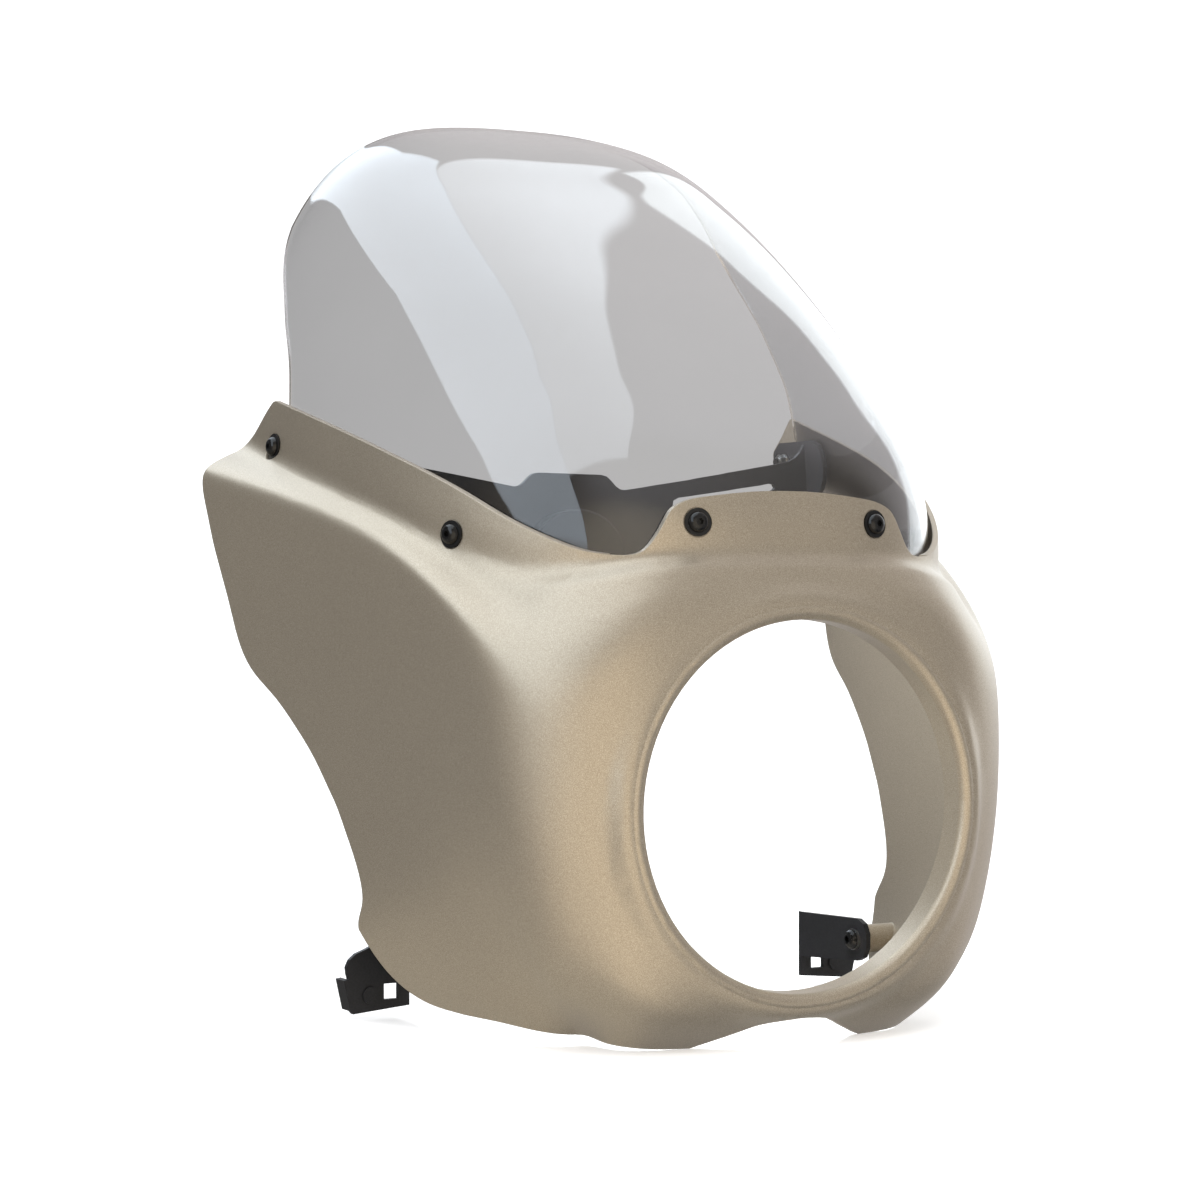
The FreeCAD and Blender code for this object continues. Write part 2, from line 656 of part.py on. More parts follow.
def build_screen():
    fo, fi = screen_surfaces()
    s = thick_solid(fo, fi)
    x = -260
    rear = spline_edge([V(x, y, z) for y, z in SCREEN_REAR])
    low = spline_edge([V(x, y, z) for y, z in SCREEN_LOW])
    a, b = SCREEN_REAR[-1], SCREEN_LOW[0]
    w = Part.Wire(Part.__sortEdges__([
        rear, Part.makeLine(V(x, *a), V(x, -10, 396)), Part.makeLine(V(x, -10, 396), V(x, *b)), low]))
    s = s.common(Part.Face(w).extrude(V(520, 0, 0)))
    for p, n in frames.values():
        s = s.cut(cyl(p, n, 5.0, -8, 5))
    return s


# ---------------------------------------------------------------- cross bracket
TAB_S = -4.5               # outer face of the arms' tabs, below the screen's outside


def build_cross():
    y0, y1 = CROSS_Y, CROSS_Y + PLATE_T
    half = [(0, 177.4), (21, 177.4), (24.4, 176.7), (27, 174.8), (31, 171), (33.5, 169.6), (37, 169.2),
            (88, 177.4), (140, 186), (150, 188.2), (155, 190.8), (158.6, 194.6), (161, 199),
            (163.6, 201.6), (163.6, 168.4), (150, 164.6), (128, 158.2), (74, 139), (66, 126),
            (62, 112), (57, 100), (47, 91), (36, 87), (0, 86)]
    full = half + [(-x, z) for x, z in half[-2:0:-1]]
    plate = prism_y(full, y0, y1)
    slot = [(73.5, 165.4), (136.5, 174.8), (139.2, 174.4), (140.3, 172.6), (139.2, 171.2), (128.2, 168.1),
            (80, 153.5), (73, 154.5), (69.5, 160), (70, 163.5)]
    for sg in (-1, 1):
        plate = plate.cut(prism_y([(sg * x, z) for x, z in slot], y0 - 1, y1 + 1))
        plate = plate.cut(Part.makeCylinder(CROSS_HOLE_R, PLATE_T + 2, V(sg * CROSS_HOLE_X, y0 - 1, CROSS_HOLE_Z),
                                            V(0, 1, 0)))
    # round boss pressed forward, open at the back, with a rounded edge
    r, t, f, yf = CROSS_BOSS_R, PLATE_T, 1.6, y0 - CROSS_BOSS_H
    k = f * (1 - math.sqrt(0.5))
    pts = [V(r, yf + f, CROSS_BOSS_Z), V(r, y1, CROSS_BOSS_Z), V(r - t, y1, CROSS_BOSS_Z),
           V(r - t, yf + t, CROSS_BOSS_Z), V(0, yf + t, CROSS_BOSS_Z), V(0, yf, CROSS_BOSS_Z),
           V(r - f, yf, CROSS_BOSS_Z)]
    edge = Part.Arc(pts[-1], V(r - k, yf + k, CROSS_BOSS_Z), pts[0]).toShape()
    w = Part.Wire([edge] + [Part.makeLine(p, q) for p, q in zip(pts[:-1], pts[1:])])
    boss = Part.Face(w).revolve(V(0, 0, CROSS_BOSS_Z), V(0, 1, 0), 360)
    plate = plate.cut(Part.makeCylinder(r - 1, PLATE_T + 2, V(0, y0 - 1, CROSS_BOSS_Z), V(0, 1, 0))).fuse(boss)
    # flanges welded across the ends of the arms, parallel to the screen at the rear screws
    for side in (-1, 1):
        p, n = frames[("rear", side)]
        t = V(0, 1, 0) - n * n.y
        t.normalize()
        up = t.cross(n)
        if up.z < 0:
            up = up * -1
        o = p + n * TAB_S
        out = [(-38, -20.5), (4, -20.5), (12.5, -14), (15.5, -4), (13.5, 7), (6, 12.5), (-34, 12.5),
               (-41, 9.5), (-45.5, 3), (-47, -5), (-45.5, -12.5), (-42, -18)]
        wire = Part.makePolygon([o + t * a + up * b for a, b in out + [out[0]]])
        tab = Part.Face(wire).extrude(n * -PLATE_T)
        plate = plate.fuse(tab).cut(cyl(p, n, SCREW_R + 0.3, TAB_S - PLATE_T - 4, 2))
    return plate.removeSplitter()


# ---------------------------------------------------------------- lower brackets
def build_low(side):
    x0 = BOSS_X - PLATE_T          # inner face of the leg that bolts to the boss
    y0, y1 = LOW_Y, LOW_Y + PLATE_T
    leg = prism_x([(138, -94), (141, -99.5), (147, -102), (y1, -106), (y1, -80), (147, -78), (141, -80.5),
                   (138, -86)], x0, BOSS_X)
    face = prism_y([(x0, -79.5), (150, -84), (153.5, -85.6), (159, -87.6), (162.6, -90.6), (164.5, -94.6),
                    (164.0, -98.5), (163.2, -101.0), (166.2, -101.6), (162.4, -118.4), (160.6, -120.2), (x0, -117.2)],
                   y0, y1)
    lipf = prism_y([(163.2, -101.2), (166.2, -101.6), (162.4, -118.4), (159.4, -118.2)], y0, y0 + 11)
    b = leg.fuse(face).fuse(lipf)
    b = b.cut(box(138.0 - SQUARE / 2, 138.0 + SQUARE / 2, y0 - 1, y1 + 1, -109 - SQUARE / 2, -109 + SQUARE / 2))
    b = b.cut(Part.makeCylinder(3.2, 20, V(x0 - 5, BOSS[0], BOSS[1]), V(1, 0, 0)))
    # pressed bead round the fixing, beside the square hole
    bead = Part.makeCylinder(4.6, 1.2, V(150.5, y0 - 1.2, -110.5), V(0, 1, 0))
    b = b.fuse(bead).removeSplitter()
    return mirror(b) if side < 0 else b


def pair(shape):
    return [mirror(shape), shape]


if __name__ == "__main__":
    os.makedirs("parts", exist_ok=True)
    X = V(1, 0, 0)
    boss_p = V(BOSS_X, BOSS[0], BOSS[1])
    fixed = [frames[k] for k in frames if k[0] != "rear"]
    rear = [frames[k] for k in frames if k[0] == "rear"]
    save("cowl_shell", build_shell())
    screen = build_screen()
    save("windscreen", screen)
    save("screen_screws", Part.Compound([screw(f, 16.0) for f in fixed]))
    save("rear_screws", Part.Compound([screw(f, 20.0) for f in rear]))
    save("screen_washers", Part.Compound([ring(f, WASHER_R, SCREW_R + 0.2, HEAD_S, HEAD_S + WASHER_T)
                                          for f in fixed + rear]))
    # rubber well nuts: flange in the gap, body through the screen, blind behind
    nuts = [cyl(p, n, 7.0, 0, INNER_S).fuse(cyl(p, n, 4.8, -13, 0.5)).cut(cyl(p, n, 3.4, -12, -4)).cut(
            cyl(p, n, SCREW_R + 0.1, -12, 4)).removeSplitter().cut(screen) for p, n in fixed]
    save("well_nuts", Part.Compound(nuts))
    save("well_nut_inserts", Part.Compound([ring(f, 3.4, SCREW_R, -12, -4) for f in fixed]))
    grom = [cyl(p, n, 7.0, 0, INNER_S).fuse(cyl(p, n, 4.9, -3.5, 0.5)).fuse(cyl(p, n, 7.0, TAB_S, -3.05)).cut(
            cyl(p, n, SCREW_R + 0.2, -6, 4)).removeSplitter().cut(screen) for p, n in rear]
    save("rear_grommets", Part.Compound(grom))
    save("cross_bracket", build_cross())
    t0 = TAB_S - PLATE_T
    save("rear_nut_washers", Part.Compound([ring(f, 5.0, SCREW_R + 0.15, t0 - 1.0, t0) for f in rear]))
    lock = []
    for p, n in rear:
        h = hexagon(8.0, 0, 4.0).fuse(Part.makeCylinder(3.3, 5.0)).cut(Part.makeCylinder(SCREW_R, 9, V(0, 0, -1)))
        h.Placement = FreeCAD.Placement(p + n * (t0 - 1.0), FreeCAD.Rotation(V(0, 0, 1), n * -1))
        lock.append(h)
    save("rear_lock_nuts", Part.Compound(lock))
    save("lower_bracket_left", build_low(-1))
    save("lower_bracket_right", build_low(1))
    ins = cyl(boss_p, X, INSERT_R, 0, INSERT_L).cut(cyl(boss_p, X, 3.0, -1, INSERT_L + 1))
    save("boss_inserts", Part.Compound(pair(ins)))
    x_in = BOSS_X - PLATE_T
    wash = cyl(V(x_in, BOSS[0], BOSS[1]), X, 6.0, -1.6, 0).cut(cyl(V(x_in, BOSS[0], BOSS[1]), X, 3.2, -3, 1))
    save("lower_bracket_washers", Part.Compound(pair(wash)))
    hx = V(x_in - 1.6, BOSS[0], BOSS[1])
    bolt = dome_head(hx, X * -1, 5.7, 3.6, 4.0).fuse(cyl(hx, X, 3.0, -0.2, 16.0)).removeSplitter()
    save("lower_bracket_bolts", Part.Compound(pair(bolt)))
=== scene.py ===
import bmesh
import bpy
import math
from mathutils import Matrix, Vector


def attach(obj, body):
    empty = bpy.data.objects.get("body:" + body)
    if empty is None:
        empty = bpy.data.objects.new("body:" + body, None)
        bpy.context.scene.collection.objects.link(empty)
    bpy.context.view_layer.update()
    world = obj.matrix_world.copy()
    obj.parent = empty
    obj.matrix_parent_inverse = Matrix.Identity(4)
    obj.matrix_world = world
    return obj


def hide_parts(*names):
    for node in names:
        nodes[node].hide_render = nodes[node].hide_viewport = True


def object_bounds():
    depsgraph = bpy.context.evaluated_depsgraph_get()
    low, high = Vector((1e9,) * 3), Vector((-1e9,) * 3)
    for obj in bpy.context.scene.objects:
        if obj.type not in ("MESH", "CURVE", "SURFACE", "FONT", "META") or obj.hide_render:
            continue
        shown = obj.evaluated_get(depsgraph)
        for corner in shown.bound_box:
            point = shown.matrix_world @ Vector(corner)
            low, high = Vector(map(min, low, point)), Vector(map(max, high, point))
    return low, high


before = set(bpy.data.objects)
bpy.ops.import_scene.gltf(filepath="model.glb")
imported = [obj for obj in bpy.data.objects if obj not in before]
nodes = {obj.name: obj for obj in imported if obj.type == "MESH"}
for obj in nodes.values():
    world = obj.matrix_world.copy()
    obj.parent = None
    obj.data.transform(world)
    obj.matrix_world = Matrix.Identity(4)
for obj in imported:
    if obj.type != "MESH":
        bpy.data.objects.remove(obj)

cad_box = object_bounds()


# ------------------------------------------------------------------ helpers
def material(name):
    m = bpy.data.materials.new(name)
    m.use_nodes = True
    nt = m.node_tree
    bsdf = nt.nodes["Principled BSDF"]
    return m, nt, bsdf


def add(nt, kind, **kw):
    n = nt.nodes.new(kind)
    for k, v in kw.items():
        setattr(n, k, v)
    return n


def obj_coords(nt):
    return add(nt, "ShaderNodeTexCoord").outputs["Object"]


def noise(nt, scale, detail=2.0, rough=0.5):
    n = add(nt, "ShaderNodeTexNoise")
    n.inputs["Scale"].default_value = scale
    n.inputs["Detail"].default_value = detail
    n.inputs["Roughness"].default_value = rough
    nt.links.new(obj_coords(nt), n.inputs["Vector"])
    return n


def ramp(nt, fac, stops):
    r = add(nt, "ShaderNodeValToRGB")
    e = r.color_ramp.elements
    while len(e) > 1:
        e.remove(e[-1])
    e[0].position, e[0].color = stops[0][0], stops[0][1] + (1,)
    for p, c in stops[1:]:
        q = e.new(p)
        q.color = c + (1,)
    nt.links.new(fac, r.inputs["Fac"])
    return r


def bump(nt, height, strength, distance):
    b = add(nt, "ShaderNodeBump")
    b.inputs["Strength"].default_value = strength
    b.inputs["Distance"].default_value = distance
    nt.links.new(height, b.inputs["Height"])
    return b


def put(node, mat):
    o = nodes[node]
    o.data.materials.clear()
    o.data.materials.append(mat)


# ------------------------------------------------------------------ materials
def lacquer():
    """Champagne metallic lacquer: fine flake over a satin base."""
    m, nt, b = material("champagne_lacquer")
    flake = noise(nt, 2600.0, 1.0, 0.6)
    cloud = noise(nt, 9.0, 2.0, 0.5)
    fl = ramp(nt, flake.outputs["Fac"], [(0.30, (0.31, 0.262, 0.198)), (0.50, (0.40, 0.343, 0.264)),
                                         (0.72, (0.53, 0.465, 0.372))])
    cl = ramp(nt, cloud.outputs["Fac"], [(0.3, (0.95, 0.95, 0.95)), (0.7, (1.0, 1.0, 1.0))])
    mix = add(nt, "ShaderNodeMix", data_type="RGBA", blend_type="MULTIPLY")
    mix.inputs["Factor"].default_value = 1.0
    nt.links.new(fl.outputs["Color"], mix.inputs["A"])
    nt.links.new(cl.outputs["Color"], mix.inputs["B"])
    nt.links.new(mix.outputs["Result"], b.inputs["Base Color"])
    b.inputs["Metallic"].default_value = 0.72
    b.inputs["Roughness"].default_value = 0.42
    b.inputs["Coat Weight"].default_value = 0.25
    b.inputs["Coat Roughness"].default_value = 0.28
    edge = add(nt, "ShaderNodeBevel", samples=6)
    edge.inputs["Radius"].default_value = 0.0009
    bp = bump(nt, flake.outputs["Fac"], 0.10, 0.0002)
    nt.links.new(edge.outputs["Normal"], bp.inputs["Normal"])
    nt.links.new(bp.outputs["Normal"], b.inputs["Normal"])
    return m


def clear_screen():
    """Light smoke acrylic."""
    m, nt, b = material("smoke_screen")
    n = noise(nt, 14.0, 2.0, 0.5)
    r = ramp(nt, n.outputs["Fac"], [(0.3, (0.80, 0.80, 0.805)), (0.7, (0.815, 0.815, 0.82))])
    nt.links.new(r.outputs["Color"], b.inputs["Base Color"])
    b.inputs["Transmission Weight"].default_value = 1.0
    b.inputs["Roughness"].default_value = 0.0
    b.inputs["IOR"].default_value = 1.49
    return m


def black_gloss(name, rough, tone):
    m, nt, b = material(name)
    n = noise(nt, 700.0, 2.0, 0.5)
    r = ramp(nt, n.outputs["Fac"], [(0.3, (tone * 0.8,) * 3), (0.7, (tone * 1.25, tone * 1.25, tone * 1.3))])
    nt.links.new(r.outputs["Color"], b.inputs["Base Color"])
    b.inputs["Roughness"].default_value = rough
    b.inputs["Specular IOR Level"].default_value = 0.3
    b.inputs["Coat Weight"].default_value = 0.12
    b.inputs["Coat Roughness"].default_value = 0.08
    bp = bump(nt, n.outputs["Fac"], 0.04, 0.0001)
    nt.links.new(bp.outputs["Normal"], b.inputs["Normal"])
    return m


def powder_coat():
    m, nt, b = material("black_powder_coat")
    n = noise(nt, 900.0, 3.0, 0.6)
    r = ramp(nt, n.outputs["Fac"], [(0.3, (0.009, 0.009, 0.010)), (0.7, (0.016, 0.016, 0.018))])
    nt.links.new(r.outputs["Color"], b.inputs["Base Color"])
    b.inputs["Roughness"].default_value = 0.45
    b.inputs["Specular IOR Level"].default_value = 0.3
    bp = bump(nt, n.outputs["Fac"], 0.03, 0.0002)
    nt.links.new(bp.outputs["Normal"], b.inputs["Normal"])
    return m


def rubber():
    m, nt, b = material("black_rubber")
    n = noise(nt, 900.0, 3.0, 0.6)
    r = ramp(nt, n.outputs["Fac"], [(0.3, (0.012, 0.012, 0.012)), (0.7, (0.024, 0.024, 0.024))])
    nt.links.new(r.outputs["Color"], b.inputs["Base Color"])
    b.inputs["Roughness"].default_value = 0.7
    bp = bump(nt, n.outputs["Fac"], 0.2, 0.0002)
    nt.links.new(bp.outputs["Normal"], b.inputs["Normal"])
    return m


def metal(name, lo, hi, rough):
    m, nt, b = material(name)
    n = noise(nt, 600.0, 3.0, 0.6)
    r = ramp(nt, n.outputs["Fac"], [(0.3, lo), (0.7, hi)])
    nt.links.new(r.outputs["Color"], b.inputs["Base Color"])
    b.inputs["Metallic"].default_value = 1.0
    b.inputs["Roughness"].default_value = rough
    bp = bump(nt, n.outputs["Fac"], 0.1, 0.0001)
    nt.links.new(bp.outputs["Normal"], b.inputs["Normal"])
    return m


shell_mat = lacquer()
screen_mat = clear_screen()
screw_mat = black_gloss("black_gloss_screws", 0.14, 0.005)
washer_mat = black_gloss("black_washers", 0.28, 0.007)
coat_mat = powder_coat()
rubber_mat = rubber()
zinc_mat = metal("zinc_plated", (0.50, 0.50, 0.50), (0.62, 0.62, 0.61), 0.32)
brass_mat = metal("brass", (0.62, 0.46, 0.20), (0.74, 0.57, 0.28), 0.3)

for node, mat in {
    "cowl_shell": shell_mat, "windscreen": screen_mat, "screen_screws": screw_mat,
    "rear_screws": screw_mat, "screen_washers": washer_mat, "well_nuts": rubber_mat,
    "well_nut_inserts": brass_mat, "rear_grommets": rubber_mat, "cross_bracket": coat_mat,
    "rear_nut_washers": zinc_mat, "rear_lock_nuts": zinc_mat, "lower_bracket_left": coat_mat,
    "lower_bracket_right": coat_mat, "boss_inserts": brass_mat, "lower_bracket_washers": zinc_mat,
    "lower_bracket_bolts": screw_mat,
}.items():
    put(node, mat)


# ------------------------------------------------------------------ the screen
# The CAD node's bubble, rebuilt as a fine smooth grid so that its reflections and
# refraction run clean. Lengths in mm from the flat rim plane, as the part was drawn.
ORIGIN_Y = 10.6
Y0, W, H, THICK = 332.0, 173.0, 286.0, 3.0
PROFILE_Z = [100.0, 130.0, 150.0, 180.0, 220.0, 260.0, 300.0, 340.0, 370.0, 386.0]
PROFILE_Y = [20.5, 21.5, 23.0, 36.3, 74.0, 119.9, 174.8, 235.0, 282.8, 325.0]
REAR = [(272, 180), (272.6, 189), (274, 198), (277.3, 217), (281.5, 233), (287.5, 246), (295, 259),
        (303.5, 274.5), (314, 290.5), (322.5, 305), (328, 320), (330, 340)]
LOW = [(30, 118), (60, 112), (117, 122), (200, 148), (260, 168.5), (272, 180)]


def pchip(xs, ys, x):
    n = len(xs)
    if x <= xs[0]:
        return ys[0] + (x - xs[0]) * 0.02
    if x >= xs[-1]:
        return ys[-1]
    h = [xs[i + 1] - xs[i] for i in range(n - 1)]
    dd = [(ys[i + 1] - ys[i]) / h[i] for i in range(n - 1)]
    m = [0.0] * n
    m[0], m[-1] = dd[0], dd[-1]
    for i in range(1, n - 1):
        if dd[i - 1] * dd[i] > 0:
            w1, w2 = 2 * h[i] + h[i - 1], h[i] + 2 * h[i - 1]
            m[i] = (w1 + w2) / (w1 / dd[i - 1] + w2 / dd[i])
    i = max(j for j in range(n - 1) if xs[j] <= x)
    t = (x - xs[i]) / h[i]
    return (ys[i] * (1 + 2 * t) * (1 - t) ** 2 + m[i] * h[i] * t * (1 - t) ** 2
            + ys[i + 1] * t * t * (3 - 2 * t) + m[i + 1] * h[i] * t * t * (t - 1))


def bub_b(z):
    return Y0 - pchip(PROFILE_Z, PROFILE_Y, z)


def bub_x(y, z, b=None):
    b = bub_b(z) if b is None else b
    if b <= 0:
        return 0.0
    q = min(max((Y0 - y) / b, 0.0), 1.0)
    t = min(max(z - 100.0, 0.0) / H, 1.0)
    m = 2.4 - 0.38 * min(max((z - 140.0) / 100.0, 0.0), 1.0)
    return W * (1 - t ** 3.2) ** (1 / 3.2) * max(1 - q ** m, 0.0) ** (1 / 3.25)


def rom(pts, k):
    """Catmull-Rom curve through points, k steps a span."""
    out = []
    for i in range(len(pts) - 1):
        p0, p1, p2, p3 = pts[max(i - 1, 0)], pts[i], pts[i + 1], pts[min(i + 2, len(pts) - 1)]
        for j in range(k):
            t = j / k
            out.append(tuple(0.5 * (2 * p1[c] + (p2[c] - p0[c]) * t + (2 * p0[c] - 5 * p1[c] + 4 * p2[c] - p3[c]) * t * t
                                    + (3 * p1[c] - p0[c] - 3 * p2[c] + p3[c]) * t ** 3) for c in (0, 1)))
    return out + [pts[-1]]


def trim_rho():
    """Distance of the trimmed edge from the fan's axis, over the fan's angle."""
    tab = []
    for y, z in rom(LOW, 12)[10:] + rom(REAR, 12)[1:]:
        tab.append((math.atan2(z - 100, Y0 - y), math.hypot(Y0 - y, z - 100)))
    out = [tab[0]]
    for a, q in tab[1:]:
        if a > out[-1][0] + 1e-4:
            out.append((a, q))
    return out


TRIM = trim_rho()


def edge_rho(a):
    if a <= TRIM[0][0]:
        return TRIM[0][1]
    for (a0, r0), (a1, r1) in zip(TRIM[:-1], TRIM[1:]):
        if a <= a1:
            return r0 + (r1 - r0) * (a - a0) / (a1 - a0)
    return TRIM[-1][1]


def half_arch(a, n):
    """Evenly spaced points of one arch of the fan, from the trimmed edge to the centre."""
    ca, sa = math.cos(a), math.sin(a)
    lo, hi = 0.0, 400.0
    for _ in range(50):
        mid = (lo + hi) / 2
        z = 100 + mid * sa
        if z < 386.0 and mid * ca < bub_b(z):
            lo = mid
        else:
            hi = mid
    r0, pts = edge_rho(a), []
    for i in range(301):
        rho = r0 + (lo - r0) * (1 - (1 - i / 300.0) ** 4)
        y, z = Y0 - rho * ca, 100 + rho * sa
        pts.append((bub_x(y, z) if i < 300 else 0.0, y, z))
    dist = [0.0]
    for p, q in zip(pts[:-1], pts[1:]):
        dist.append(dist[-1] + math.dist(p, q))
    out, k = [], 0
    for i in range(n + 1):
        t = dist[-1] * i / n
        while k < len(dist) - 2 and dist[k + 1] < t:
            k += 1
        f = min(max((t - dist[k]) / max(dist[k + 1] - dist[k], 1e-9), 0), 1)
        out.append(Vector(pts[k]).lerp(Vector(pts[k + 1]), f))
    return out


def screen_frames():
    out = []
    for y, z in ((None, 143.9), (110.6, 138.6), (281.8, 189.8)):
        if y is None:
            lo, hi = 10.0, 120.0
            for _ in range(50):
                y = (lo + hi) / 2
                if bub_x(y, z) < 52.7:
                    lo = y
                else:
                    hi = y
        e = 0.25
        n = Vector((1, -(bub_x(y + e, z) - bub_x(y - e, z)) / (2 * e), -(bub_x(y, z + e) - bub_x(y, z - e)) / (2 * e)))
        n.normalize()
        p = Vector((bub_x(y, z), y, z))
        out += [(p, n), (Vector((-p.x, p.y, p.z)), Vector((-n.x, n.y, n.z)))]
    return out


def build_screen():
    nc = 100
    angles = [math.radians(3 + 0.28 * i) for i in range(11)]
    a0, a1 = angles[-1], math.radians(88.95)
    angles += [a0 + (a1 - a0) * i / 148 for i in range(1, 149)]
    rows = []
    for a in angles:
        h = half_arch(a, nc)
        rows.append(h + [Vector((-p.x, p.y, p.z)) for p in h[-2::-1]])
    nr, m = len(rows), 2 * nc + 1
    for _ in range(14):
        rows = [rows[0]] + [[r[0]] + [r[j] * 0.5 + (rows[i - 1][j] + rows[i + 1][j]) * 0.25 for j in range(1, m - 1)]
                            + [r[-1]] for i, r in enumerate(rows) if 0 < i < nr - 1] + [rows[-1]]
    for _ in range(10):
        rows = [[r[0]] + [r[j] * 0.5 + (r[j - 1] + r[j + 1]) * 0.25 for j in range(1, m - 1)] + [r[-1]] for r in rows]
    core = Vector((0, Y0, 150))
    outer, inner = [], []
    for i in range(nr):
        for j in range(m):
            du = rows[i][min(j + 1, m - 1)] - rows[i][max(j - 1, 0)]
            dv = rows[min(i + 1, nr - 1)][j] - rows[max(i - 1, 0)][j]
            n = du.cross(dv).normalized()
            if n.dot(rows[i][j] - core) < 0:
                n = -n
            outer.append(rows[i][j])
            inner.append(rows[i][j] - n * THICK)
    k = nr * m
    verts = [((p.x) / 1000, (p.y - ORIGIN_Y) / 1000, p.z / 1000) for p in outer + inner]
    faces = []
    for i in range(nr - 1):
        for j in range(m - 1):
            a, b, c, e = i * m + j, i * m + j + 1, (i + 1) * m + j + 1, (i + 1) * m + j
            faces.append((a, e, c, b))
            faces.append((k + a, k + b, k + c, k + e))
    loop = [j for j in range(m)] + [i * m + m - 1 for i in range(1, nr)] + \
           [(nr - 1) * m + j for j in range(m - 2, -1, -1)] + [i * m for i in range(nr - 2, 0, -1)]
    for a, b in zip(loop, loop[1:] + loop[:1]):
        faces.append((a, b, k + b, k + a))
    me = bpy.data.meshes.new("screen_bubble")
    me.from_pydata(verts, [], faces)
    me.validate()
    bm = bmesh.new()
    bm.from_mesh(me)
    bmesh.ops.recalc_face_normals(bm, faces=bm.faces)
    bm.to_mesh(me)
    bm.free()
    o = bpy.data.objects.new("screen_bubble", me)
    bpy.context.scene.collection.objects.link(o)
    # the six fixing holes
    cb = bmesh.new()
    for p, n in screen_frames():
        q = Vector((p.x, p.y - ORIGIN_Y, p.z)) / 1000
        mat = Matrix.Translation(q) @ n.to_track_quat("Z", "Y").to_matrix().to_4x4()
        bmesh.ops.create_cone(cb, cap_ends=True, segments=48, radius1=0.005, radius2=0.005, depth=0.03, matrix=mat)
    cm = bpy.data.meshes.new("drill")
    cb.to_mesh(cm)
    cb.free()
    co_ = bpy.data.objects.new("drill", cm)
    bpy.context.scene.collection.objects.link(co_)
    mod = o.modifiers.new("holes", "BOOLEAN")
    mod.operation, mod.solver, mod.object = "DIFFERENCE", "EXACT", co_
    bpy.context.view_layer.update()
    dg = bpy.context.evaluated_depsgraph_get()
    new = bpy.data.meshes.new_from_object(o.evaluated_get(dg))
    o.modifiers.clear()
    o.data = new
    bpy.data.objects.remove(co_)
    bpy.data.meshes.remove(cm)
    for p in new.polygons:
        p.use_smooth = True
    new.set_sharp_from_angle(angle=math.radians(38))
    new.materials.clear()
    new.materials.append(screen_mat)
    print("screen mesh", len(new.vertices), len(new.polygons))
    return o


screen = build_screen()
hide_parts("windscreen")
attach(screen, "root")


# ------------------------------------------------------------------ floor and backdrop
def stage():
    m, nt, b = material("pale_floor")
    n = noise(nt, 3.0, 2.0, 0.5)
    r = ramp(nt, n.outputs["Fac"], [(0.3, (0.86, 0.86, 0.86)), (0.7, (0.88, 0.88, 0.88))])
    nt.links.new(r.outputs["Color"], b.inputs["Base Color"])
    b.inputs["Roughness"].default_value = 0.9
    b.inputs["Emission Color"].default_value = (1, 1, 1, 1)
    b.inputs["Emission Strength"].default_value = FLOOR_GLOW
    z = cad_box[0][2] - 0.0005
    prof = [(-6.0, z), (2.0, z)]
    for k in range(1, 13):
        a = math.pi / 2 * k / 12
        prof.append((2.0 + 1.5 * math.sin(a), z + 1.5 * (1 - math.cos(a))))
    prof.append((3.5, 6.0))
    verts, faces = [], []
    for i, (y, zz) in enumerate(prof):
        verts += [(-9.0, y, zz), (9.0, y, zz)]
    for i in range(len(prof) - 1):
        faces.append((2 * i, 2 * i + 1, 2 * i + 3, 2 * i + 2))
    me = bpy.data.meshes.new("floor")
    me.from_pydata(verts, [], faces)
    for p in me.polygons:
        p.use_smooth = True
    o = bpy.data.objects.new("floor", me)
    o.data.materials.append(m)
    bpy.context.scene.collection.objects.link(o)
    o.rotation_euler = (0, 0, math.radians(-28.74))
    o.visible_glossy = False
    o.visible_transmission = False


FLOOR_GLOW = 0.42
stage()


# ------------------------------------------------------------------ light
def area(name, pos, aim, size, power, color=(1, 1, 1), size_y=None):
    l = bpy.data.lights.new(name, "AREA")
    l.energy = power
    l.color = color
    l.size = size
    if size_y:
        l.shape = "RECTANGLE"
        l.size_y = size_y
    o = bpy.data.objects.new(name, l)
    o.location = pos
    o.rotation_euler = (Vector(aim) - Vector(pos)).to_track_quat("-Z", "Y").to_euler()
    o.visible_glossy = False
    o.visible_transmission = False
    o.visible_camera = False
    bpy.context.scene.collection.objects.link(o)
    return o


